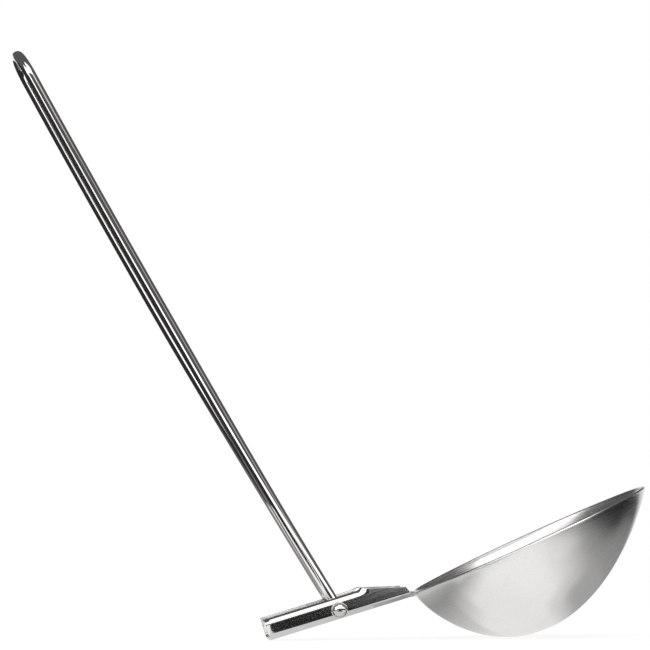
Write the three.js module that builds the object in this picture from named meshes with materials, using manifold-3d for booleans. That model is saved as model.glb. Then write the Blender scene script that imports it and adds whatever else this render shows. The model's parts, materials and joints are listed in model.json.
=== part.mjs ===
import * as THREE from 'three';
import { mergeVertices } from 'three/addons/utils/BufferGeometryUtils.js';
import Module from 'manifold-3d';

// Folding serving spoon, in millimetres, Z up.
// The head (channel, weld and bowl) is drawn with the channel's long axis along X and the pivot at zero.
// The whole spoon is then tilted until the bowl and the channel's tail stand on the same table.

// Handle wire
const wireDiameter = 4;
const legSpacing = 18.5;
const handleReach = 228;
const legBowRadius = 4460;
const stubBendRadius = 3;
const domeDiameter = 4.4;
const domeHeight = 0.9;

// Angle of the handle above the channel's long axis, in degrees
const openAngle = 104.5;

// Clearances
const runningGap = 0.3;
const floorGap = 0.2;
const pivotGap = 0.2;
const washerGap = 0.15;
const weldGap = 0.2;

// Channel sheet
const sheet = 0.8;
const tailLength = 26.3;
const frontLength = 26;
const floorBendRadius = 2;
const lipBendRadius = 2.75;
const lipBendAngle = 65;
const lipTop = 4.8;
const lipFullTo = 5.7;
const lipGoneAt = 12.8;
const taperFrom = 10;
const frontWallTop = 1.05;
const frontCornerBack = 1.3;

// Pivot washers
const washerDiameter = 5.8;
const washerThickness = 0.8;
const washerChamfer = 0.3;

// Bowl, drawn with its rim flat and its back end at zero
const bowlLength = 90.3;
const bowlWidth = 71;
const bowlDepth = 31.1;
const bowlSheet = 1.2;
const bowlDeepestAt = 39.7;
const bowlTilt = 7.38;
const bowlFit = 1.9;
const rimDrop = 0.3;
const backWallPower = 2.19;
const backWallSoftness = 0.731;
const frontWallPower = 1.866;
const frontWallSoftness = 0.925;

// Weld between the channel floor and the bowl
const weldLength = 15;
const weldWidth = 3.6;
const weldHeight = 2.2;

// How finely curves are divided
const wireSides = 20;
const bendSteps = 8;
const loopSteps = 20;
const legSteps = 12;
const domeSteps = 5;
const bowlSides = 56;
const bowlRings = 14;
const rimSteps = 4;
const floorBendSteps = 5;
const lipBendSteps = 6;
const uncurlSteps = 7;
const holeSides = 40;

// Sizes that follow from the ones above
const wireRadius = wireDiameter / 2;
const legY = legSpacing / 2;
const legEnd = handleReach - wireRadius - legY;
const floorTop = -wireRadius - floorGap;
const floorUnder = floorTop - sheet;
const lipCurl = THREE.MathUtils.degToRad(lipBendAngle);
const lipMidRadius = lipBendRadius - sheet / 2;
const lipInnerRadius = lipBendRadius - sheet;
const lipLength = lipMidRadius * lipCurl;
const lipEdgeY = legY + wireRadius + runningGap;
const wallOuterY = lipEdgeY + lipBendRadius - lipInnerRadius * Math.cos(lipCurl);
const wallMidY = wallOuterY - sheet / 2;
const lipStart = lipTop - lipBendRadius * Math.sin(lipCurl);
const flatWallTop = lipStart + lipLength;
const floorHalf = wallOuterY - floorBendRadius;
const floorBendMid = floorBendRadius - sheet / 2;
const floorBendLength = floorBendMid * Math.PI / 2;
const wallStart = floorUnder + floorBendRadius;
const wallLength = lipStart - wallStart;
const pivotHoleRadius = wireRadius + pivotGap;
const washerInnerY = wallOuterY + pivotGap;
const washerOuterY = washerInnerY + washerThickness;
const domeBaseY = washerOuterY + washerGap;
const bowlBackX = frontLength + bowlFit;
const bowlBackZ = floorTop - rimDrop;

const wasm = await Module();
wasm.setup();

function toSolid(geometry) {
  const bare = geometry.clone();
  bare.deleteAttribute('normal');
  bare.deleteAttribute('uv');
  const merged = mergeVertices(bare);
  const corners = merged.index.array;
  const triVerts = [];
  for (let i = 0; i < corners.length; i += 3) {
    const [a, b, c] = corners.slice(i, i + 3);
    if (a !== b && b !== c && c !== a) {
      triVerts.push(a, b, c);
    }
  }
  const vertProperties = new Float32Array(merged.attributes.position.array);
  const mesh = new wasm.Mesh({ numProp: 3, vertProperties, triVerts: new Uint32Array(triVerts) });
  return new wasm.Manifold(mesh);
}

function toGeometry(solid) {
  const mesh = solid.getMesh();
  const geometry = new THREE.BufferGeometry();
  geometry.setAttribute('position', new THREE.BufferAttribute(mesh.vertProperties, mesh.numProp));
  geometry.setIndex(new THREE.BufferAttribute(mesh.triVerts, 1));
  geometry.computeVertexNormals();
  return geometry;
}

// Bowl surface: reach runs from the deepest point to the rim, turn goes round from the front
function bowlPoint(reach, turn, inset) {
  const forward = (1 + Math.cos(turn)) / 2;
  const power = THREE.MathUtils.lerp(backWallPower, frontWallPower, forward);
  const softness = THREE.MathUtils.lerp(backWallSoftness, frontWallSoftness, forward);
  const rimX = bowlLength / 2 + (bowlLength / 2 - inset) * Math.cos(turn);
  const rimY = (bowlWidth / 2 - inset) * Math.sin(turn);
  const x = THREE.MathUtils.lerp(bowlDeepestAt, rimX, reach);
  const z = (inset - bowlDepth) * (1 - reach ** power) ** softness;
  return new THREE.Vector3(x, rimY * reach, z);
}

// A plate of revolution whose height counts from the outer skin to the inner one, moved onto the bowl
function bowlShell(outerInset, innerInset) {
  const profile = [];
  for (let i = 0; i <= bowlRings; i += 1) {
    profile.push(new THREE.Vector2(Math.sin(Math.PI / 2 * i / bowlRings), 0));
  }
  for (let i = 1; i < rimSteps; i += 1) {
    profile.push(new THREE.Vector2(1, (1 - Math.cos(Math.PI * i / rimSteps)) / 2));
  }
  for (let i = bowlRings; i >= 0; i -= 1) {
    profile.push(new THREE.Vector2(Math.sin(Math.PI / 2 * i / bowlRings), 1));
  }
  const geometry = new THREE.LatheGeometry(profile, bowlSides);
  const position = geometry.attributes.position;
  const rimRound = (innerInset - outerInset) / 2;
  for (let i = 0; i < position.count; i += 1) {
    const reach = Math.min(1, Math.hypot(position.getX(i), position.getZ(i)));
    const turn = Math.atan2(position.getX(i), position.getZ(i));
    const skin = position.getY(i);
    const point = bowlPoint(reach, turn, THREE.MathUtils.lerp(outerInset, innerInset, skin));
    point.z += rimRound * Math.sqrt(1 - (2 * skin - 1) ** 2);
    position.setXYZ(i, point.x, point.y, point.z);
  }
  return geometry;
}

function placeOnHead(geometry) {
  return geometry.rotateY(-THREE.MathUtils.degToRad(bowlTilt)).translate(bowlBackX, 0, bowlBackZ);
}

// Where a point of the flat sheet goes once its floor bends and lip curls are made
function foldSheet(across, outward, curl) {
  const side = Math.sign(across);
  const run = Math.abs(across) - floorHalf;
  let y = floorHalf + run;
  let z = floorUnder + sheet / 2;
  let angle = 0;
  if (run > 0) {
    angle = Math.min(run, floorBendLength) / floorBendMid;
    y = floorHalf + floorBendMid * Math.sin(angle);
    z += floorBendMid * (1 - Math.cos(angle));
  }
  const up = run - floorBendLength;
  if (up > 0) {
    z += Math.min(up, wallLength);
  }
  const over = up - wallLength;
  if (over > 0) {
    const turned = over * curl;
    angle += turned;
    y -= curl > 0 ? (1 - Math.cos(turned)) / curl : 0;
    z += curl > 0 ? Math.sin(turned) / curl : over;
  }
  return new THREE.Vector2(side * (y + outward * Math.sin(angle)), z - outward * Math.cos(angle));
}

// Flat-sheet places of the section's corners, from the middle of the floor outward
function sheetPlaces() {
  const places = [floorHalf];
  for (let i = 1; i <= floorBendSteps; i += 1) {
    places.push(floorHalf + floorBendLength * i / floorBendSteps);
  }
  const lipRoot = floorHalf + floorBendLength + wallLength;
  for (let i = 0; i <= lipBendSteps; i += 1) {
    places.push(lipRoot + lipLength * i / lipBendSteps);
  }
  return places;
}

function channelGeometry() {
  const fullCurl = 1 / lipMidRadius;
  const places = sheetPlaces();
  const across = [...places.map((place) => -place).reverse(), ...places];
  const outer = across.map((place) => ({ place, outward: sheet / 2 }));
  const inner = across.map((place) => ({ place, outward: -sheet / 2 })).reverse();
  const corners = [...outer, ...inner];
  const section = corners.map((corner) => foldSheet(corner.place, corner.outward, fullCurl));

  const stations = [-tailLength];
  for (let i = 0; i <= uncurlSteps; i += 1) {
    stations.push(THREE.MathUtils.lerp(lipFullTo, lipGoneAt, i / uncurlSteps));
  }
  stations.push(frontLength);
  const steps = stations.length - 1;

  const shape = new THREE.Shape(section);
  const geometry = new THREE.ExtrudeGeometry(shape, { depth: steps, steps, bevelEnabled: false });
  const position = geometry.attributes.position;
  const drawn = new THREE.Vector2();
  for (let i = 0; i < position.count; i += 1) {
    drawn.set(position.getX(i), position.getY(i));
    let nearest = 0;
    section.forEach((point, k) => {
      nearest = point.distanceTo(drawn) < section[nearest].distanceTo(drawn) ? k : nearest;
    });
    const x = stations[Math.round(position.getZ(i))];
    const curl = fullCurl * (1 - THREE.MathUtils.smoothstep(x, lipFullTo, lipGoneAt));
    const folded = foldSheet(corners[nearest].place, corners[nearest].outward, curl);
    position.setXYZ(i, x, folded.x, folded.y);
  }
  return geometry;
}

// What is cut from the front walls: everything above their sloping top and ahead of their front corner
function frontCut() {
  const beyond = frontLength + sheet;
  const above = lipTop + lipBendRadius;
  const outline = new THREE.Shape([
    new THREE.Vector2(taperFrom, flatWallTop),
    new THREE.Vector2(frontLength - frontCornerBack, frontWallTop),
    new THREE.Vector2(frontLength, floorTop),
    new THREE.Vector2(beyond, floorTop),
    new THREE.Vector2(beyond, above),
    new THREE.Vector2(taperFrom, above),
  ]);
  const depth = 2 * (wallOuterY + sheet);
  const geometry = new THREE.ExtrudeGeometry(outline, { depth, bevelEnabled: false });
  return geometry.rotateX(Math.PI / 2).translate(0, depth / 2, 0);
}

function pivotHole(side) {
  const length = 2 * floorBendRadius;
  const hole = new THREE.CylinderGeometry(pivotHoleRadius, pivotHoleRadius, length, holeSides);
  return hole.translate(0, side * (lipEdgeY + length / 2), 0);
}

function makeChannel() {
  let solid = toSolid(channelGeometry());
  solid = solid.subtract(toSolid(frontCut()));
  solid = solid.subtract(toSolid(pivotHole(-1)));
  solid = solid.subtract(toSolid(pivotHole(1)));
  return toGeometry(solid);
}

// Path of the wire's centre line, from the near end round the loop to the far end
class WirePath extends THREE.Curve {
  constructor() {
    super();
    const half = [new THREE.Vector2(0, domeBaseY + domeHeight / 3)];
    for (let i = 0; i <= bendSteps; i += 1) {
      const angle = Math.PI / 2 * i / bendSteps;
      const along = stubBendRadius * (1 - Math.cos(angle));
      half.push(new THREE.Vector2(along, legY + stubBendRadius * (1 - Math.sin(angle))));
    }
    for (let i = 1; i <= legSteps; i += 1) {
      half.push(new THREE.Vector2(THREE.MathUtils.lerp(stubBendRadius, legEnd, i / legSteps), legY));
    }
    for (let i = 1; i <= loopSteps / 2; i += 1) {
      const angle = Math.PI * i / loopSteps;
      half.push(new THREE.Vector2(legEnd + legY * Math.sin(angle), legY * Math.cos(angle)));
    }
    const near = half.map((point) => new THREE.Vector2(point.x, -point.y));
    const far = half.slice(0, -1).reverse();
    this.stops = [...near, ...far].map(({ x, y }) => new THREE.Vector3(x, y, -x * x / (2 * legBowRadius)));
  }

  getPoint(t, target = new THREE.Vector3()) {
    const place = t * (this.stops.length - 1);
    const before = Math.min(Math.floor(place), this.stops.length - 2);
    return target.lerpVectors(this.stops[before], this.stops[before + 1], place - before);
  }

  getUtoTmapping(u) {
    return u;
  }
}

function makeDome(side) {
  const profile = [new THREE.Vector2(0, 0)];
  for (let i = 0; i <= domeSteps; i += 1) {
    const angle = Math.PI / 2 * i / domeSteps;
    const radius = i === domeSteps ? 0 : domeDiameter / 2 * Math.cos(angle);
    profile.push(new THREE.Vector2(radius, domeHeight * Math.sin(angle)));
  }
  const dome = new THREE.LatheGeometry(profile, wireSides);
  return dome.rotateX(side > 0 ? 0 : Math.PI).translate(0, side * domeBaseY, 0);
}

function makeHandle() {
  const path = new WirePath();
  const round = new THREE.Shape().absarc(0, 0, wireRadius, 0, 2 * Math.PI);
  const settings = { steps: path.stops.length - 1, curveSegments: wireSides / 2, extrudePath: path };
  const wire = toSolid(new THREE.ExtrudeGeometry(round, settings));
  return toGeometry(wire.add(toSolid(makeDome(-1))).add(toSolid(makeDome(1))));
}

function makeWasher(side) {
  const bore = wireRadius + washerGap;
  const edge = washerDiameter / 2;
  const profile = [
    new THREE.Vector2(bore, 0),
    new THREE.Vector2(edge, 0),
    new THREE.Vector2(edge, washerThickness - washerChamfer),
    new THREE.Vector2(edge - washerChamfer, washerThickness),
    new THREE.Vector2(bore, washerThickness),
    new THREE.Vector2(bore, 0),
  ];
  const ring = new THREE.LatheGeometry(profile, holeSides);
  return ring.rotateX(side > 0 ? 0 : Math.PI).translate(0, side * washerInnerY, 0);
}

function makeWeld() {
  const middleX = (frontLength + bowlBackX) / 2;
  const middleZ = floorTop - sheet / 2;
  const bead = new THREE.SphereGeometry(0.5, wireSides, wireSides / 2);
  bead.rotateX(Math.PI / 2).scale(weldWidth, weldLength, weldHeight).translate(middleX, 0, middleZ);
  const floorBox = new THREE.BoxGeometry(tailLength, weldLength, sheet + 2 * weldGap);
  floorBox.translate(frontLength + weldGap - tailLength / 2, 0, middleZ);
  const bowlKeepOut = placeOnHead(bowlShell(-weldGap, bowlDepth / 2));
  return toGeometry(toSolid(bead).subtract(toSolid(floorBox)).subtract(toSolid(bowlKeepOut)));
}

const polished = { color: 0xc9c8c5, roughness: 0.12, metalness: 1 };
const satin = { color: 0xbdbcb8, roughness: 0.32, metalness: 1 };
const weldLook = { color: 0xa8a6a2, roughness: 0.4, metalness: 1 };

function addPiece(parent, name, geometry, look) {
  const mesh = new THREE.Mesh(geometry, new THREE.MeshStandardMaterial(look));
  mesh.name = name;
  parent.add(mesh);
}

const head = new THREE.Group();
const bowl = placeOnHead(bowlShell(0, bowlSheet));
addPiece(head, 'bowl', bowl, satin);
addPiece(head, 'hinge_channel', makeChannel(), polished);
addPiece(head, 'bowl_weld', makeWeld(), weldLook);

const handle = new THREE.Group();
handle.rotation.y = -THREE.MathUtils.degToRad(openAngle);
addPiece(handle, 'handle_loop', makeHandle(), polished);
addPiece(handle, 'pivot_washer_near', makeWasher(-1), polished);
addPiece(handle, 'pivot_washer_far', makeWasher(1), polished);

// Tilt at which the tail's lower edge and the bowl's lowest point are level
function heightAt(x, z, tilt) {
  return x * Math.sin(tilt) + z * Math.cos(tilt);
}

function bowlLowest(tilt) {
  const position = bowl.attributes.position;
  let lowest = Infinity;
  for (let i = 0; i < position.count; i += 1) {
    lowest = Math.min(lowest, heightAt(position.getX(i), position.getZ(i), tilt));
  }
  return lowest;
}

function standingTilt() {
  let low = 0;
  let high = Math.PI / 4;
  while (high - low > 1e-9) {
    const tilt = (low + high) / 2;
    if (heightAt(-tailLength, floorUnder, tilt) > bowlLowest(tilt)) {
      low = tilt;
    } else {
      high = tilt;
    }
  }
  return low;
}

const spoon = new THREE.Group();
spoon.add(head, handle);
spoon.rotation.y = -standingTilt();

// The origin is the middle of the underside of the spoon's box
const group = new THREE.Group();
group.add(spoon);
group.updateMatrixWorld(true);
const box = new THREE.Box3().setFromObject(spoon, true);
const middle = box.getCenter(new THREE.Vector3());
spoon.position.set(-middle.x, -middle.y, -box.min.z);

export default group;
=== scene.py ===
import json
import math

import bmesh
import bpy
from mathutils import Matrix, Quaternion, Vector


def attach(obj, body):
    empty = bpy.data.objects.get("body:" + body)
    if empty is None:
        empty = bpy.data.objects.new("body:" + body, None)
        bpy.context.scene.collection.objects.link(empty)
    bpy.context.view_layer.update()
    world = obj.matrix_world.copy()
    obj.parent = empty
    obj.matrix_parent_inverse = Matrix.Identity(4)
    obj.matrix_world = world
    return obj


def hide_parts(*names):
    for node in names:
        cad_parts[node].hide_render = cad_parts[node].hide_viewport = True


# A folding serving spoon: a satin oval bowl, a polished sheet channel and a polished wire loop handle
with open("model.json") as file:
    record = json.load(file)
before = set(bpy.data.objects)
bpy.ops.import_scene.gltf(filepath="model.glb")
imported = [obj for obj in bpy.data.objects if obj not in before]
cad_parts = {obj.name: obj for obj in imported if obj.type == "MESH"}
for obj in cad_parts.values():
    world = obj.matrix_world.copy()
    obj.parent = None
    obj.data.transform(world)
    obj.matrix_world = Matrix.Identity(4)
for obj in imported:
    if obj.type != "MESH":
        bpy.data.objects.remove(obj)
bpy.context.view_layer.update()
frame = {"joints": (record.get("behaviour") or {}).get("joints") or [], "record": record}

# Sizes are in millimetres, as the solids have them, and become metres when a mesh is made
MM = 0.001

# Handle wire
WIRE_RADIUS = 2.0
LEG_Y = 9.25
HANDLE_REACH = 228.0
LEG_BOW_RADIUS = 4460.0
LOOP_TWIST = math.radians(3.7)
TWIST_FROM = 20.0
TWIST_TO = 130.0
STUB_BEND_RADIUS = 3.0
DOME_RADIUS = 2.2
DOME_HEIGHT = 0.9
OPEN_ANGLE = math.radians(104.5)

# Clearances
RUNNING_GAP = 0.3
FLOOR_GAP = 0.2
PIVOT_GAP = 0.2
WASHER_GAP = 0.15

# Channel sheet
SHEET = 0.8
TAIL_LENGTH = 26.3
FRONT_LENGTH = 26.0
FLOOR_BEND_RADIUS = 2.0
LIP_BEND_RADIUS = 2.75
LIP_CURL = math.radians(65)
LIP_TOP = 4.8
LIP_FULL_TO = 5.7
LIP_GONE_AT = 12.8
TAPER_FROM = 10.0
FRONT_WALL_TOP = 1.05
FRONT_CORNER_BACK = 1.3
EDGE_ROUND = 0.14

# Pivot washers
WASHER_RADIUS = 2.9
WASHER_THICKNESS = 0.8
WASHER_CHAMFER = 0.3
WASHER_EDGE = 0.1

# Bowl
BOWL_LENGTH = 90.3
BOWL_WIDTH = 71.0
BOWL_DEPTH = 31.1
BOWL_SHEET = 1.2
BOWL_DEEPEST_AT = 39.7
BOWL_TILT = math.radians(7.38)
BOWL_FIT = 1.9
RIM_DROP = 0.3
BACK_WALL_POWER = 2.19
BACK_WALL_SOFTNESS = 0.731
FRONT_WALL_POWER = 1.866
FRONT_WALL_SOFTNESS = 0.925

# Weld bead between the channel floor and the bowl
WELD_HALF_LENGTH = 7.4
WELD_HALF_WIDTH = 1.5
WELD_HALF_HEIGHT = 0.95
WELD_END_FULLNESS = 0.02
WELD_RIPPLES = 11
WELD_RIPPLE_DEPTH = 0.09

# Sizes that follow from the ones above
FLOOR_TOP = -WIRE_RADIUS - FLOOR_GAP
FLOOR_UNDER = FLOOR_TOP - SHEET
LIP_MID_RADIUS = LIP_BEND_RADIUS - SHEET / 2
LIP_LENGTH = LIP_MID_RADIUS * LIP_CURL
LIP_EDGE_Y = LEG_Y + WIRE_RADIUS + RUNNING_GAP
WALL_OUTER_Y = LIP_EDGE_Y + LIP_BEND_RADIUS - (LIP_BEND_RADIUS - SHEET) * math.cos(LIP_CURL)
LIP_START = LIP_TOP - LIP_BEND_RADIUS * math.sin(LIP_CURL)
FLAT_WALL_TOP = LIP_START + LIP_LENGTH
FLOOR_HALF = WALL_OUTER_Y - FLOOR_BEND_RADIUS
FLOOR_BEND_MID = FLOOR_BEND_RADIUS - SHEET / 2
FLOOR_BEND_LENGTH = FLOOR_BEND_MID * math.pi / 2
WALL_LENGTH = LIP_START - FLOOR_UNDER - FLOOR_BEND_RADIUS
BEND_END = FLOOR_HALF + FLOOR_BEND_LENGTH
SHEET_END = BEND_END + WALL_LENGTH + LIP_LENGTH
FRONT_CORNER = FRONT_LENGTH - FRONT_CORNER_BACK
PIVOT_HOLE_RADIUS = WIRE_RADIUS + PIVOT_GAP
WASHER_INNER_Y = WALL_OUTER_Y + PIVOT_GAP
DOME_BASE_Y = WASHER_INNER_Y + WASHER_THICKNESS + WASHER_GAP
LEG_END = HANDLE_REACH - WIRE_RADIUS - LEG_Y
BOWL_BACK_X = FRONT_LENGTH + BOWL_FIT
BOWL_BACK_Z = FLOOR_TOP - RIM_DROP

# Meshes: edges sharper than this angle stay sharp, and a curl weaker than this one counts as flat
CREASE_ANGLE = math.radians(50)
FLAT_CURL = 1e-6
EDGE_SEARCH_STEPS = 40
BEND_SHARE = 0.8

# Photograph's view
IMAGE_PIXELS = 650
FOCAL_PIXELS = 4000
SENSOR_MM = 36.0
VIEW_AZIMUTH = math.radians(-3.806)
VIEW_ELEVATION = math.radians(-2.899)
VIEW_ROLL = math.radians(-0.543)
VIEW_DISTANCE = 1420.0
VIEW_TARGET = Vector((-1.457, 0.0, 111.17))
VIEW_FAR_END = 100000.0


def lerp(a, b, t):
    return a + (b - a) * t


def smoothstep(x, low, high):
    t = min(1.0, max(0.0, (x - low) / (high - low)))
    return t * t * (3 - 2 * t)


def steps(count):
    return [i / count for i in range(count + 1)]


def quarter_turn(count):
    """Angles from nothing to a right angle."""
    return [math.pi / 2 * t for t in steps(count)]


def full_turn(count):
    """Angles once round, without the first one again."""
    return [2 * math.pi * i / count for i in range(count)]


# Places of the head, the handle and the bowl in the row frame
joint = frame["joints"][0]
floor_normal = frame["record"]["mounts"][0]["axis"]
tilt = math.atan2(floor_normal[0], -floor_normal[2])
head_place = Matrix.Translation(joint["pos_m"]) @ Matrix.Rotation(-tilt, 4, "Y")
handle_place = head_place @ Matrix.Rotation(-OPEN_ANGLE, 4, "Y")
bowl_place = head_place @ Matrix.Translation(Vector((BOWL_BACK_X, 0, BOWL_BACK_Z)) * MM)
bowl_place = bowl_place @ Matrix.Rotation(-BOWL_TILT, 4, "Y")


def new_object(name, points, faces, place):
    """A smooth-shaded mesh from points in the piece's own millimetres, put in its place."""
    mesh = bpy.data.meshes.new(name)
    mesh.from_pydata([place @ (Vector(p) * MM) for p in points], [], faces)
    bm = bmesh.new()
    bm.from_mesh(mesh)
    bmesh.ops.recalc_face_normals(bm, faces=bm.faces)
    bm.to_mesh(mesh)
    bm.free()
    mesh.shade_smooth()
    piece = bpy.data.objects.new(name, mesh)
    bpy.context.scene.collection.objects.link(piece)
    return piece


def dress(piece, material, body, node):
    piece.data.materials.append(material)
    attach(piece, body)
    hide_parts(node)


def ring_faces(rings, count):
    """Quads between neighbouring closed rings of count points."""
    faces = []
    for r in range(rings - 1):
        low = r * count
        high = low + count
        for i in range(count):
            j = (i + 1) % count
            faces.append((low + i, low + j, high + j, high + i))
    return faces


def capped(points, faces, rings, count, first, last):
    """Closes a stack of rings with a point at each end."""
    start = len(points)
    top = (rings - 1) * count
    points += [first, last]
    for i in range(count):
        j = (i + 1) % count
        faces.append((start, j, i))
        faces.append((start + 1, top + i, top + j))


# Bowl: reach goes out from the deepest point to the rim, turn goes round, skin from outside to inside
def bowl_point(reach, turn, skin):
    inset = BOWL_SHEET * skin
    forward = (1 + math.cos(turn)) / 2
    power = lerp(BACK_WALL_POWER, FRONT_WALL_POWER, forward)
    softness = lerp(BACK_WALL_SOFTNESS, FRONT_WALL_SOFTNESS, forward)
    z = (inset - BOWL_DEPTH) * (1 - reach**power) ** softness
    rim_x = BOWL_LENGTH / 2 + (BOWL_LENGTH / 2 - inset) * math.cos(turn)
    rim_y = (BOWL_WIDTH / 2 - inset) * math.sin(turn)
    z += BOWL_SHEET / 2 * math.sqrt(max(0.0, 1 - (2 * skin - 1) ** 2))
    return lerp(BOWL_DEEPEST_AT, rim_x, reach), rim_y * reach, z


def make_bowl(rings=72, sides=224, rim_steps=12):
    reaches = [math.sin(angle) for angle in quarter_turn(rings)][1:]
    profile = [(reach, 0.0) for reach in reaches]
    profile += [(1.0, (1 - math.cos(math.pi * t)) / 2) for t in steps(rim_steps)][1:-1]
    profile += [(reach, 1.0) for reach in reversed(reaches)]
    turns = full_turn(sides)
    points = [bowl_point(reach, turn, skin) for reach, skin in profile for turn in turns]
    faces = ring_faces(len(profile), sides)
    capped(points, faces, len(profile), sides, bowl_point(0, 0, 0), bowl_point(0, 0, 1))
    return new_object("bowl_shell", points, faces, bowl_place)


# Channel: where a point of the flat sheet goes once its floor bends and lip curls are made
def fold_sheet(across, outward, curl):
    side = math.copysign(1, across)
    run = abs(across) - FLOOR_HALF
    y = FLOOR_HALF + run
    z = FLOOR_UNDER + SHEET / 2
    angle = 0.0
    if run > 0:
        angle = min(run, FLOOR_BEND_LENGTH) / FLOOR_BEND_MID
        y = FLOOR_HALF + FLOOR_BEND_MID * math.sin(angle)
        z += FLOOR_BEND_MID * (1 - math.cos(angle))
    up = run - FLOOR_BEND_LENGTH
    if up > 0:
        z += min(up, WALL_LENGTH)
    over = up - WALL_LENGTH
    if over > 0 and curl < FLAT_CURL:
        z += over
    elif over > 0:
        turned = over * curl
        angle += turned
        y -= (1 - math.cos(turned)) / curl
        z += math.sin(turned) / curl
    return side * (y + outward * math.sin(angle)), z - outward * math.cos(angle)


def uncurled_at(x):
    """Nothing where the lips are fully curled, and one where the walls are straight."""
    return smoothstep(x, LIP_FULL_TO, LIP_GONE_AT)


def curl_at(x):
    return (1 - uncurled_at(x)) / LIP_MID_RADIUS


def wall_top_at(x):
    """Height that the front walls are cut to."""
    if x < TAPER_FROM:
        return math.inf
    if x < FRONT_CORNER:
        along = (x - TAPER_FROM) / (FRONT_CORNER - TAPER_FROM)
        return lerp(FLAT_WALL_TOP, FRONT_WALL_TOP, along)
    return lerp(FRONT_WALL_TOP, FLOOR_TOP, (x - FRONT_CORNER) / FRONT_CORNER_BACK)


def sheet_end_at(x):
    """Flat-sheet place of the sheet's free edge."""
    low, high = FLOOR_HALF, SHEET_END
    if fold_sheet(high, 0, curl_at(x))[1] <= wall_top_at(x):
        return high
    for _ in range(EDGE_SEARCH_STEPS):
        middle = (low + high) / 2
        if fold_sheet(middle, 0, curl_at(x))[1] < wall_top_at(x):
            low = middle
        else:
            high = middle
    return low


def channel_section(x, shrink, floor_steps=5, bend_steps=12, wall_steps=40, edge_steps=4):
    """Closed outline of the sheet across the channel at x, with its surface drawn in by shrink."""
    half = SHEET / 2 - shrink
    soft = min(half, lerp(SHEET / 2, EDGE_ROUND, uncurled_at(x)))
    end = sheet_end_at(x) - shrink - soft
    # A side that is cut off within its bend still gets a stretch of wall points
    bend_end = min(BEND_END, lerp(FLOOR_HALF, end, BEND_SHARE))
    places = [FLOOR_HALF * t for t in steps(floor_steps)][1:]
    places += [lerp(FLOOR_HALF, bend_end, t) for t in steps(bend_steps)][1:]
    places += [lerp(bend_end, end, t) for t in steps(wall_steps)][1:]
    outline = [(place, half) for place in places]
    turns = quarter_turn(edge_steps)[1:]
    corner = [(end + soft * math.sin(a), half - soft * (1 - math.cos(a))) for a in turns]
    outline += corner
    outline += [(place, -outward) for place, outward in reversed(corner)][1:]
    outline += [(place, -half) for place in reversed(places)]
    outline += [(-place, outward) for place, outward in reversed(outline)]
    return [fold_sheet(place, outward, curl_at(x)) for place, outward in outline]


def channel_stations(end_steps=4, tail_steps=12, uncurl_steps=30, front_steps=20, corner_steps=10):
    """Places along the channel for its sections, and how far each section shrinks at the rounded ends."""
    rounds = [(EDGE_ROUND * (1 - math.cos(a)), EDGE_ROUND * (1 - math.sin(a)))
              for a in quarter_turn(end_steps)]
    stretches = [
        (-TAIL_LENGTH + EDGE_ROUND, LIP_FULL_TO, tail_steps),
        (LIP_FULL_TO, LIP_GONE_AT, uncurl_steps),
        (LIP_GONE_AT, FRONT_CORNER, front_steps),
        (FRONT_CORNER, FRONT_LENGTH - EDGE_ROUND, corner_steps),
    ]
    stations = [(-TAIL_LENGTH + along, shrink) for along, shrink in rounds]
    for start, end, count in stretches:
        stations += [(lerp(start, end, t), 0) for t in steps(count)][1:]
    stations += [(FRONT_LENGTH - along, shrink) for along, shrink in reversed(rounds)][1:]
    return stations


def cut_pivot_holes(channel, sides=72):
    """Bores both walls for the wire's turned ends."""
    bm = bmesh.new()
    reach = 2 * (WALL_OUTER_Y + SHEET)
    across = head_place @ Matrix.Rotation(math.pi / 2, 4, "X")
    bmesh.ops.create_cone(bm, cap_ends=True, segments=sides, radius1=PIVOT_HOLE_RADIUS * MM,
                          radius2=PIVOT_HOLE_RADIUS * MM, depth=reach * MM, matrix=across)
    mesh = bpy.data.meshes.new("pivot_bore")
    bm.to_mesh(mesh)
    bm.free()
    cutter = bpy.data.objects.new("pivot_bore", mesh)
    bpy.context.scene.collection.objects.link(cutter)
    cut = channel.modifiers.new("pivot_bore", "BOOLEAN")
    cut.operation = "DIFFERENCE"
    cut.solver = "EXACT"
    cut.object = cutter
    bpy.context.view_layer.update()
    evaluated = channel.evaluated_get(bpy.context.evaluated_depsgraph_get())
    bored = bpy.data.meshes.new_from_object(evaluated)
    channel.modifiers.clear()
    channel.data = bored
    channel.data.name = channel.name
    bpy.data.objects.remove(cutter)
    channel.data.set_sharp_from_angle(angle=CREASE_ANGLE)


def make_channel():
    stations = channel_stations()
    sections = [channel_section(x, shrink) for x, shrink in stations]
    count = len(sections[0])
    points = [(x, y, z) for (x, _), section in zip(stations, sections) for y, z in section]
    faces = ring_faces(len(stations), count)
    last = (len(stations) - 1) * count
    faces.append(tuple(range(count)))
    faces.append(tuple(range(last + count - 1, last - 1, -1)))
    channel = new_object("channel_sheet", points, faces, head_place)
    cut_pivot_holes(channel)
    return channel


# Handle: half of the wire's centre line, from the base of its domed end to the middle of the loop
def wire_half(stub_steps=2, bend_steps=20, leg_steps=70, loop_steps=96):
    stub_end = LEG_Y + STUB_BEND_RADIUS
    half = [(0.0, lerp(DOME_BASE_Y, stub_end, t)) for t in steps(stub_steps)][:-1]
    for angle in quarter_turn(bend_steps):
        half.append((STUB_BEND_RADIUS * (1 - math.cos(angle)),
                     LEG_Y + STUB_BEND_RADIUS * (1 - math.sin(angle))))
    half += [(lerp(STUB_BEND_RADIUS, LEG_END, t), LEG_Y) for t in steps(leg_steps)][1:]
    for angle in quarter_turn(loop_steps)[1:]:
        half.append((LEG_END + LEG_Y * math.sin(angle), LEG_Y * math.cos(angle)))
    return half


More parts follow.
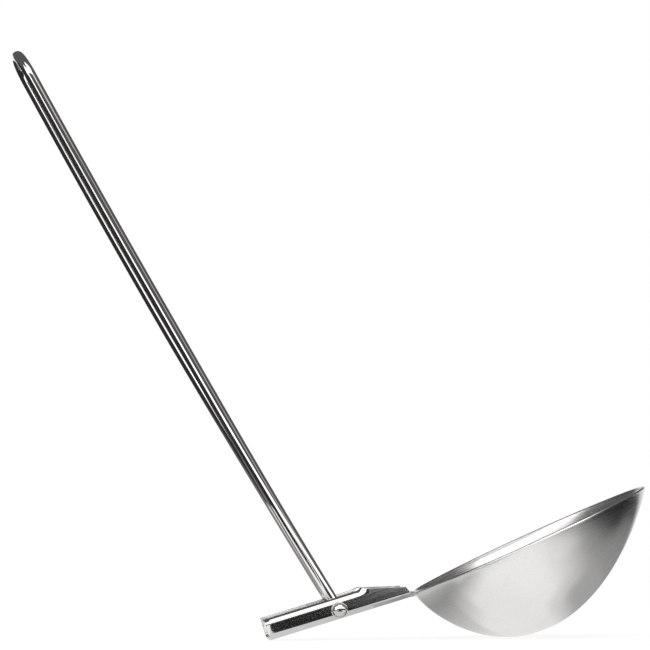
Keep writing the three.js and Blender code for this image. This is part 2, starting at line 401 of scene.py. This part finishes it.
def leg_lift(x, y):
    """How far the wire lies out of a flat plane: its bow, and the slight twist that the loop has."""
    twist = LOOP_TWIST * smoothstep(x, TWIST_FROM, TWIST_TO)
    return y * math.sin(twist) - x * x / (2 * LEG_BOW_RADIUS)


def tube_rings(path, radii, sides):
    """Rings of points round a path, turned from one to the next without twist."""
    across = Vector((0, 0, 1))
    points = []
    for i, place in enumerate(path):
        ahead = path[min(i + 1, len(path) - 1)] - path[max(i - 1, 0)]
        along = ahead.normalized()
        across = (across - along * across.dot(along)).normalized()
        third = along.cross(across)
        for angle in full_turn(sides):
            spoke = across * math.cos(angle) + third * math.sin(angle)
            points.append(place + spoke * radii[i])
    return points


def make_handle(sides=56, dome_steps=12):
    half = wire_half()
    line = [(x, -y) for x, y in half] + [(x, y) for x, y in reversed(half[:-1])]
    path = [Vector((x, y, leg_lift(x, y))) for x, y in line]
    radii = [WIRE_RADIUS] * len(path)
    dome = [(DOME_HEIGHT * math.sin(a), DOME_RADIUS * math.cos(a)) for a in quarter_turn(dome_steps)][:-1]
    outward = Vector((0, 1, 0))
    path = [path[0] - outward * h for h, _ in reversed(dome)] + path
    path += [path[-1] + outward * h for h, _ in dome]
    radii = [r for _, r in reversed(dome)] + radii + [r for _, r in dome]
    points = tube_rings(path, radii, sides)
    faces = ring_faces(len(path), sides)
    crown = outward * (DOME_BASE_Y + DOME_HEIGHT)
    capped(points, faces, len(path), sides, -crown, crown)
    handle = new_object("handle_wire", points, faces, handle_place)
    handle.data.set_sharp_from_angle(angle=CREASE_ANGLE)
    return handle


def make_washer(name, side, sides=96, round_steps=4):
    bore = WIRE_RADIUS + WASHER_GAP
    top = WASHER_THICKNESS
    profile = [(bore, 0), (WASHER_RADIUS - WASHER_EDGE, 0), (WASHER_RADIUS, WASHER_EDGE)]
    for angle in quarter_turn(round_steps):
        profile.append((WASHER_RADIUS - WASHER_CHAMFER * (1 - math.cos(angle)),
                        top - WASHER_CHAMFER * (1 - math.sin(angle))))
    profile += [(bore + WASHER_EDGE, top), (bore, top - WASHER_EDGE)]
    points = []
    for radius, height in profile:
        y = side * (WASHER_INNER_Y + height)
        points += [(radius * math.cos(a), y, radius * math.sin(a)) for a in full_turn(sides)]
    faces = ring_faces(len(profile), sides)
    last = (len(profile) - 1) * sides
    faces += [(last + i, last + (i + 1) % sides, (i + 1) % sides, i) for i in range(sides)]
    washer = new_object(name, points, faces, handle_place)
    washer.data.set_sharp_from_angle(angle=CREASE_ANGLE)
    return washer


def make_weld(rings=120, sides=40):
    """A rippled bead in the seam, bent round the bowl's back end."""
    back_curve = (BOWL_WIDTH / 2) ** 2 / (BOWL_LENGTH / 2)
    middle_x = (FRONT_LENGTH + BOWL_BACK_X) / 2
    middle_z = FLOOR_TOP - SHEET / 2
    points = []
    for t in steps(rings):
        y = WELD_HALF_LENGTH * math.sin(math.pi * (t - 0.5))
        fullness = max(WELD_END_FULLNESS, 1 - (y / WELD_HALF_LENGTH) ** 2)
        ripple = abs(math.sin(math.pi * WELD_RIPPLES * (y / WELD_HALF_LENGTH + 1) / 2))
        size = math.sqrt(math.sqrt(fullness)) - WELD_RIPPLE_DEPTH * ripple
        x = middle_x + y * y / (4 * back_curve)
        for angle in full_turn(sides):
            points.append((x + WELD_HALF_WIDTH * size * math.cos(angle), y,
                           middle_z + WELD_HALF_HEIGHT * size * math.sin(angle)))
    faces = ring_faces(rings + 1, sides)
    tip = middle_x + WELD_HALF_LENGTH**2 / (4 * back_curve)
    capped(points, faces, rings + 1, sides,
           (tip, -WELD_HALF_LENGTH, middle_z), (tip, WELD_HALF_LENGTH, middle_z))
    return new_object("weld_bead", points, faces, head_place)


# Materials: noise lies round a half, mostly between these two values
NOISE_LOW = 0.3
NOISE_HIGH = 0.7


def add_node(tree, kind, **values):
    node = tree.nodes.new(kind)
    for key, value in values.items():
        setattr(node, key, value)
    return node


def new_metal(name, roughness):
    material = bpy.data.materials.new(name)
    material.use_nodes = True
    tree = material.node_tree
    shader = tree.nodes["Principled BSDF"]
    shader.inputs["Metallic"].default_value = 1.0
    shader.inputs["Roughness"].default_value = roughness
    return material, tree, shader


def piece_coordinates(tree, place):
    """Metres along the piece's own axes, whatever way it stands in the row frame."""
    own = add_node(tree, "ShaderNodeMapping", vector_type="TEXTURE")
    own.inputs["Location"].default_value = place.to_translation()
    own.inputs["Rotation"].default_value = place.to_euler()
    source = add_node(tree, "ShaderNodeTexCoord")
    tree.links.new(source.outputs["Object"], own.inputs["Vector"])
    return own.outputs["Vector"]


def stretched_noise(tree, vector, scale, detail):
    """Noise drawn out by a different scale along each axis."""
    mapping = add_node(tree, "ShaderNodeMapping")
    mapping.inputs["Scale"].default_value = scale
    tree.links.new(vector, mapping.inputs["Vector"])
    noise = add_node(tree, "ShaderNodeTexNoise")
    noise.inputs["Scale"].default_value = 1.0
    noise.inputs["Detail"].default_value = detail
    tree.links.new(mapping.outputs["Vector"], noise.inputs["Vector"])
    return noise.outputs["Fac"]


def spread(tree, value, low, high):
    ranged = add_node(tree, "ShaderNodeMapRange")
    ranged.inputs["From Min"].default_value = NOISE_LOW
    ranged.inputs["From Max"].default_value = NOISE_HIGH
    ranged.inputs["To Min"].default_value = low
    ranged.inputs["To Max"].default_value = high
    tree.links.new(value, ranged.inputs["Value"])
    return ranged.outputs["Result"]


def two_greys(tree, value, dark, light):
    ramp = add_node(tree, "ShaderNodeValToRGB")
    first, last = ramp.color_ramp.elements
    first.position = NOISE_LOW
    first.color = (*dark, 1)
    last.position = NOISE_HIGH
    last.color = (*light, 1)
    tree.links.new(value, ramp.inputs["Fac"])
    return ramp.outputs["Color"]


def add_bump(tree, shader, height, strength, depth):
    bump = add_node(tree, "ShaderNodeBump")
    bump.inputs["Strength"].default_value = strength
    bump.inputs["Distance"].default_value = depth * MM
    tree.links.new(height, bump.inputs["Height"])
    tree.links.new(bump.outputs["Normal"], shader.inputs["Normal"])


def drawn_metal(name, at, dark, light, rough, line_scale, bump_strength):
    """Polished steel with faint lines along the way that it was drawn or rolled."""
    material, tree, shader = new_metal(name, rough[0])
    place = piece_coordinates(tree, at)
    lines = stretched_noise(tree, place, scale=line_scale, detail=3.0)
    clouds = stretched_noise(tree, place, scale=(90, 90, 90), detail=2.0)
    tree.links.new(two_greys(tree, clouds, dark, light), shader.inputs["Base Color"])
    tree.links.new(spread(tree, lines, *rough), shader.inputs["Roughness"])
    add_bump(tree, shader, lines, strength=bump_strength, depth=0.02)
    return material


def bowl_ring_coordinates(tree, place):
    """Coordinates of the bowl's rings: how far out and up a point lies, and then its heading."""
    centred = add_node(tree, "ShaderNodeMapping", vector_type="POINT")
    centred.inputs["Location"].default_value = (-BOWL_LENGTH / 2 * MM, 0, 0)
    tree.links.new(place, centred.inputs["Vector"])
    oval = add_node(tree, "ShaderNodeVectorMath", operation="MULTIPLY")
    oval.inputs[1].default_value = (2 / (BOWL_LENGTH * MM), 2 / (BOWL_WIDTH * MM), 0)
    tree.links.new(centred.outputs["Vector"], oval.inputs[0])
    reach = add_node(tree, "ShaderNodeVectorMath", operation="LENGTH")
    tree.links.new(oval.outputs["Vector"], reach.inputs[0])
    heading = add_node(tree, "ShaderNodeVectorMath", operation="NORMALIZE")
    tree.links.new(oval.outputs["Vector"], heading.inputs[0])
    height = add_node(tree, "ShaderNodeSeparateXYZ")
    tree.links.new(place, height.inputs["Vector"])
    turn = add_node(tree, "ShaderNodeSeparateXYZ")
    tree.links.new(heading.outputs["Vector"], turn.inputs["Vector"])
    depth = add_node(tree, "ShaderNodeMath", operation="MULTIPLY_ADD")
    depth.inputs[1].default_value = 1 / (BOWL_DEPTH * MM)
    tree.links.new(height.outputs["Z"], depth.inputs[0])
    tree.links.new(reach.outputs["Value"], depth.inputs[2])
    rings = add_node(tree, "ShaderNodeCombineXYZ")
    tree.links.new(depth.outputs["Value"], rings.inputs["X"])
    tree.links.new(turn.outputs["X"], rings.inputs["Y"])
    tree.links.new(turn.outputs["Y"], rings.inputs["Z"])
    return rings.outputs["Vector"]


def satin_metal(name, dark, light, rough):
    """Satin steel with fine rings round the bowl, as a turned brush leaves them."""
    material, tree, shader = new_metal(name, rough[0])
    place = piece_coordinates(tree, bowl_place)
    rings = bowl_ring_coordinates(tree, place)
    lines = stretched_noise(tree, rings, scale=(160, 4, 4), detail=4.0)
    clouds = stretched_noise(tree, place, scale=(45, 45, 45), detail=3.0)
    tree.links.new(two_greys(tree, clouds, dark, light), shader.inputs["Base Color"])
    tree.links.new(spread(tree, lines, *rough), shader.inputs["Roughness"])
    add_bump(tree, shader, lines, strength=0.06, depth=0.03)
    return material


def weld_metal(name, dark, light, rough):
    """Weld bead: light and dull, with a fine grain across it."""
    material, tree, shader = new_metal(name, rough[0])
    place = piece_coordinates(tree, head_place)
    grain = stretched_noise(tree, place, scale=(900, 2600, 900), detail=4.0)
    clouds = stretched_noise(tree, place, scale=(300, 300, 300), detail=2.0)
    tree.links.new(two_greys(tree, clouds, dark, light), shader.inputs["Base Color"])
    tree.links.new(spread(tree, grain, *rough), shader.inputs["Roughness"])
    add_bump(tree, shader, grain, strength=0.25, depth=0.06)
    return material


wire_steel = drawn_metal(
    "wire_steel", at=handle_place, dark=(0.80, 0.79, 0.775), light=(0.85, 0.84, 0.83),
    rough=(0.03, 0.07), line_scale=(40, 2600, 2600), bump_strength=0.02)
channel_steel = drawn_metal(
    "channel_steel", at=head_place, dark=(0.78, 0.775, 0.76), light=(0.84, 0.835, 0.825),
    rough=(0.04, 0.09), line_scale=(60, 2400, 2400), bump_strength=0.02)
washer_steel = drawn_metal(
    "washer_steel", at=handle_place, dark=(0.80, 0.795, 0.785), light=(0.86, 0.855, 0.85),
    rough=(0.06, 0.12), line_scale=(900, 900, 900), bump_strength=0.05)
bowl_steel = satin_metal(
    "bowl_steel", dark=(0.76, 0.755, 0.745), light=(0.82, 0.815, 0.805), rough=(0.24, 0.33))
weld_steel = weld_metal(
    "weld_steel", dark=(0.84, 0.83, 0.81), light=(0.92, 0.915, 0.90), rough=(0.65, 0.85))

dress(make_bowl(), bowl_steel, "head", "bowl")
dress(make_channel(), channel_steel, "head", "hinge_channel")
dress(make_weld(), weld_steel, "head", "bowl_weld")
dress(make_handle(), wire_steel, "handle", "handle_loop")
dress(make_washer("washer_near", -1), washer_steel, "handle", "pivot_washer_near")
dress(make_washer("washer_far", 1), washer_steel, "handle", "pivot_washer_far")


# Studio: a white table and world, and a dim room that shows only in the metal and is open behind
TABLE_HEIGHT = -0.2
TABLE_REACH = 4000.0
TABLE_GREY = 0.9
TABLE_WHITE_SHARE = 0.9
WORLD_DIM = 0.10
ROOM_RADIUS = 3000.0
ROOM_GREY = 0.10
ROOM_LOW_GREY = 0.03
ROOM_LOW_TO = 220.0
ROOM_FULL_FROM = 450.0
BACKDROP_LEFT = math.radians(-150)
BACKDROP_RIGHT = math.radians(112)
BACKDROP_RISE = math.radians(12)
SKY_ANGLE = math.radians(60)
CARD_HEIGHT = 0.2

# Painted reflections: glowing grey cards on the table that show only in the metal, for dark surroundings,
# the lit table and its shade under the spoon: grey at the left end, grey at the right end, corners
PAINTED_REFLECTION_CARDS = {
    # Left of the spoon, for the handle and the channel's tail
    "left_card": (0.03, 0.03, [(-40, -45), (-560, -600), (-3700, -3900), (-3900, 500),
                               (-150, 20), (-100, -5), (-95, -38)]),
    "back_left_card": (0.03, 0.03, [(-150, 20), (-3900, 500), (-3900, 3900), (-200, 3900), (-200, 70)]),
    "tail_card": (0.05, 0.32, [(-200, 70), (-150, 20), (-100, -5), (-26, -5),
                               (-26, 3900), (-200, 3900)]),
    "front_left_card": (0.02, 0.02, [(-30, -40), (-50, -220), (-165, -220), (-150, -155)]),
    # In front of the channel, and under it: painted shade, a glowing grey for the table's shadow beneath
    # the channel as the metal shows it
    "front_card": (0.02, 0.02, [(-26, -70), (40, -70), (60, -140), (330, -1500), (-60, -1500)]),
    "under_shade_card": (0.75, 0.62, [(-26, -70), (18, -70), (18, 60), (-26, 60)]),
    # Under the weld and the left end of the bowl: painted shade of the table beneath them, fading out to
    # the lit table
    "left_rim_card": (0.64, 1.0, [(18, -70), (46, -70), (46, -45), (30, -45), (30, -30), (18, -30)]),
    "weld_shade_card": (0.48, 0.32, [(18, -30), (30, -30), (30, 60), (18, 60)]),
    "bowl_left_shade_card": (0.36, 1.0, [(30, -45), (46, -45), (46, -20), (30, -26)]),
    "lower_left_shade_card": (0.36, 0.98, [(30, -26), (54, -17), (54, -8), (30, -17)]),
    "bottom_left_shade_card": (0.32, 0.95, [(30, -17), (62, -5), (62, 60), (30, 60)]),
    # Under the right end of the bowl and beside it: painted shade of the table beneath it, and beside it
    # painted reflections that grow darker towards the right
    "lower_right_shade_card": (0.84, 0.40, [(80, -20), (96, -28), (130, -28), (130, -18),
                                      (96, -18), (80, -10)]),
    "bottom_right_shade_card": (0.95, 0.44, [(80, -10), (96, -18), (96, 220), (80, 220)]),
    "bowl_right_card": (1.0, 0.52, [(86, -170), (130, -170), (130, -75), (86, -75)]),
    "bowl_side_card": (1.0, 0.70, [(86, -75), (130, -75), (130, -45), (86, -45)]),
    "right_card": (0.45, 0.01, [(130, -170), (190, -190), (190, 20), (130, -45)]),
    "bowl_back_card": (1.0, 0.40, [(86, -45), (130, -45), (130, -28), (96, -28), (86, -23)]),
    "bottom_back_shade_card": (0.44, 0.40, [(96, -18), (130, -18), (130, 220), (96, 220)]),
    # Behind the right end of the bowl and far to the right
    "back_right_card": (0.36, 0.26, [(130, -45), (190, 20), (190, 240), (130, 220)]),
    "far_back_card": (0.26, 0.20, [(190, 20), (240, 60), (240, 260), (190, 240)]),
    "far_right_card": (0.01, 0.01, [(190, -190), (3900, -900), (3900, 1700),
                                    (240, 260), (240, 60), (190, 20)]),
}


def flat_card(name, corners, height, material):
    mesh = bpy.data.meshes.new(name)
    mesh.from_pydata([(x * MM, y * MM, height * MM) for x, y in corners], [], [range(len(corners))])
    mesh.materials.append(material)
    card = bpy.data.objects.new(name, mesh)
    bpy.context.scene.collection.objects.link(card)
    return card


def empty_material(name):
    material = bpy.data.materials.new(name)
    material.use_nodes = True
    material.node_tree.nodes.clear()
    return material, material.node_tree


def seen_ray(tree):
    """One for rays that show the surface itself: from the camera, a mirror or glass."""
    path = add_node(tree, "ShaderNodeLightPath")
    most = path.outputs["Is Camera Ray"]
    for output in ("Is Glossy Ray", "Is Transmission Ray"):
        larger = add_node(tree, "ShaderNodeMath", operation="MAXIMUM")
        tree.links.new(most, larger.inputs[0])
        tree.links.new(path.outputs[output], larger.inputs[1])
        most = larger.outputs["Value"]
    return most


def table_material():
    """White table: mostly plain white where it is seen, so that only soft shadows show on it."""
    material, tree = empty_material("white_table")
    lit = add_node(tree, "ShaderNodeBsdfDiffuse")
    lit.inputs["Color"].default_value = (TABLE_GREY, TABLE_GREY, TABLE_GREY, 1)
    white = add_node(tree, "ShaderNodeEmission")
    white.inputs["Color"].default_value = (1, 1, 1, 1)
    share = add_node(tree, "ShaderNodeMath", operation="MULTIPLY")
    share.inputs[1].default_value = TABLE_WHITE_SHARE
    tree.links.new(seen_ray(tree), share.inputs[0])
    mixed = add_node(tree, "ShaderNodeMixShader")
    tree.links.new(share.outputs["Value"], mixed.inputs[0])
    tree.links.new(lit.outputs["BSDF"], mixed.inputs[1])
    tree.links.new(white.outputs["Emission"], mixed.inputs[2])
    output = add_node(tree, "ShaderNodeOutputMaterial")
    tree.links.new(mixed.outputs["Shader"], output.inputs["Surface"])
    return material


def fading_glow(name, first, last, low, high, axis):
    """A plain grey glow that goes from one value to another along an axis, for things that show only in
    the metal as painted reflections.
    """
    material, tree = empty_material(name)
    place = add_node(tree, "ShaderNodeTexCoord")
    axes = add_node(tree, "ShaderNodeSeparateXYZ")
    tree.links.new(place.outputs["Object"], axes.inputs["Vector"])
    fade = add_node(tree, "ShaderNodeMapRange")
    fade.inputs["From Min"].default_value = low * MM
    fade.inputs["From Max"].default_value = high * MM
    fade.inputs["To Min"].default_value = first
    fade.inputs["To Max"].default_value = last
    tree.links.new(axes.outputs[axis], fade.inputs["Value"])
    plain = add_node(tree, "ShaderNodeEmission")
    tree.links.new(fade.outputs["Result"], plain.inputs["Strength"])
    output = add_node(tree, "ShaderNodeOutputMaterial")
    tree.links.new(plain.outputs["Emission"], output.inputs["Surface"])
    return material


def mirror_only(item):
    item.visible_camera = False
    item.visible_diffuse = False
    item.visible_shadow = False


def make_table():
    reach = TABLE_REACH
    corners = [(-reach, -reach), (reach, -reach), (reach, reach), (-reach, reach)]
    flat_card("table", corners, TABLE_HEIGHT, table_material())


# Glowing grey cards that show only in the metal, as painted reflections and painted shade
def make_painted_reflections():
    for name, (left, right, corners) in PAINTED_REFLECTION_CARDS.items():
        across = [x for x, _ in corners]
        material = fading_glow(name, left, right, min(across), max(across), "X")
        mirror_only(flat_card(name, corners, CARD_HEIGHT, material))


def make_room(turn_steps=60, rise_steps=30):
    """Dim dome, open behind the object, where the white backdrop shows."""
    points = []
    faces = []
    row = turn_steps + 1
    for r, rise in enumerate(quarter_turn(rise_steps)):
        reach = ROOM_RADIUS * math.cos(rise)
        z = ROOM_RADIUS * math.sin(rise)
        for i, t in enumerate(steps(turn_steps)):
            turn = lerp(-math.pi, math.pi, t)
            points.append((reach * math.sin(turn), -reach * math.cos(turn), z))
            behind = turn < BACKDROP_LEFT or turn > BACKDROP_RIGHT
            backdrop = behind and rise < BACKDROP_RISE
            if r < rise_steps and i < turn_steps and not backdrop:
                corner = r * row + i
                faces.append((corner, corner + 1, corner + row + 1, corner + row))
    room = new_object("dark_room", points, faces, Matrix.Identity(4))
    grey = fading_glow("dark_room", ROOM_LOW_GREY, ROOM_GREY, ROOM_LOW_TO, ROOM_FULL_FROM, "Z")
    room.data.materials.append(grey)
    mirror_only(room)


def make_world():
    """Plain white where it is seen, also in the metal, and dim as a source of light."""
    world = bpy.data.worlds.new("studio")
    bpy.context.scene.world = world
    world.use_nodes = True
    tree = world.node_tree
    tree.nodes.clear()
    dim = add_node(tree, "ShaderNodeBackground")
    dim.inputs["Color"].default_value = (WORLD_DIM, WORLD_DIM, WORLD_DIM, 1)
    white = add_node(tree, "ShaderNodeBackground")
    white.inputs["Color"].default_value = (1, 1, 1, 1)
    mixed = add_node(tree, "ShaderNodeMixShader")
    tree.links.new(seen_ray(tree), mixed.inputs[0])
    tree.links.new(dim.outputs["Background"], mixed.inputs[1])
    tree.links.new(white.outputs["Background"], mixed.inputs[2])
    output = add_node(tree, "ShaderNodeOutputWorld")
    tree.links.new(mixed.outputs["Shader"], output.inputs["Surface"])


def soft_lamp(name, place, aim, size, radiance, roll=0):
    """A rectangular soft box, with its brightness as seen in a mirror."""
    lamp = bpy.data.lights.new(name, "AREA")
    lamp.shape = "RECTANGLE"
    lamp.size = size[0] * MM
    lamp.size_y = size[1] * MM
    lamp.energy = radiance * math.pi * lamp.size * lamp.size_y
    holder = bpy.data.objects.new(name, lamp)
    bpy.context.scene.collection.objects.link(holder)
    holder.location = Vector(place) * MM
    towards = (Vector(aim) - Vector(place)).normalized()
    rolled = Quaternion((0, 0, 1), math.radians(roll))
    holder.rotation_mode = "QUATERNION"
    holder.rotation_quaternion = towards.to_track_quat("-Z", "Y") @ rolled
    holder.visible_camera = False


def sky_lamp(name):
    """Even light from above, which gives the soft shadow on the table and doesn't show in the metal."""
    sky = bpy.data.lights.new(name, "SUN")
    sky.energy = math.pi
    sky.angle = SKY_ANGLE
    holder = bpy.data.objects.new(name, sky)
    bpy.context.scene.collection.objects.link(holder)
    holder.visible_glossy = False


def make_lights():
    soft_lamp("front_box", place=(-110, -810, 620), aim=(60, 0, 30), size=(1640, 330),
              radiance=1.4, roll=20)
    soft_lamp("left_box", place=(-627, -707, 370), aim=(60, 0, 60), size=(560, 660), radiance=1.3)
    soft_lamp("overhead_box", place=(90, -545, 840), aim=(60, 0, 0), size=(780, 520), radiance=1.3)
    soft_lamp("low_strip", place=(-157, -233, 50), aim=(-214, -151, 50), size=(640, 34), radiance=1.3)
    soft_lamp("right_strip", place=(650, -550, 550), aim=(-40, 0, 100), size=(260, 420), radiance=0.4)
    sky_lamp("sky")


def make_camera():
    data = bpy.data.cameras.new("photo_view")
    data.sensor_width = SENSOR_MM
    data.lens = FOCAL_PIXELS / IMAGE_PIXELS * SENSOR_MM
    data.clip_end = VIEW_FAR_END * MM
    camera = bpy.data.objects.new("photo_view", data)
    bpy.context.scene.collection.objects.link(camera)
    level = math.cos(VIEW_ELEVATION)
    back = Vector((math.sin(VIEW_AZIMUTH) * level, -math.cos(VIEW_AZIMUTH) * level,
                   math.sin(VIEW_ELEVATION)))
    upright = (-back).to_track_quat("-Z", "Y").to_matrix().to_4x4()
    place = Matrix.Translation((VIEW_TARGET + back * VIEW_DISTANCE) * MM)
    camera.matrix_world = place @ upright @ Matrix.Rotation(VIEW_ROLL, 4, "Z")
    bpy.context.scene.camera = camera


make_table()
make_painted_reflections()
make_room()
make_world()
make_lights()
make_camera()
bpy.context.scene.view_settings.view_transform = "Standard"
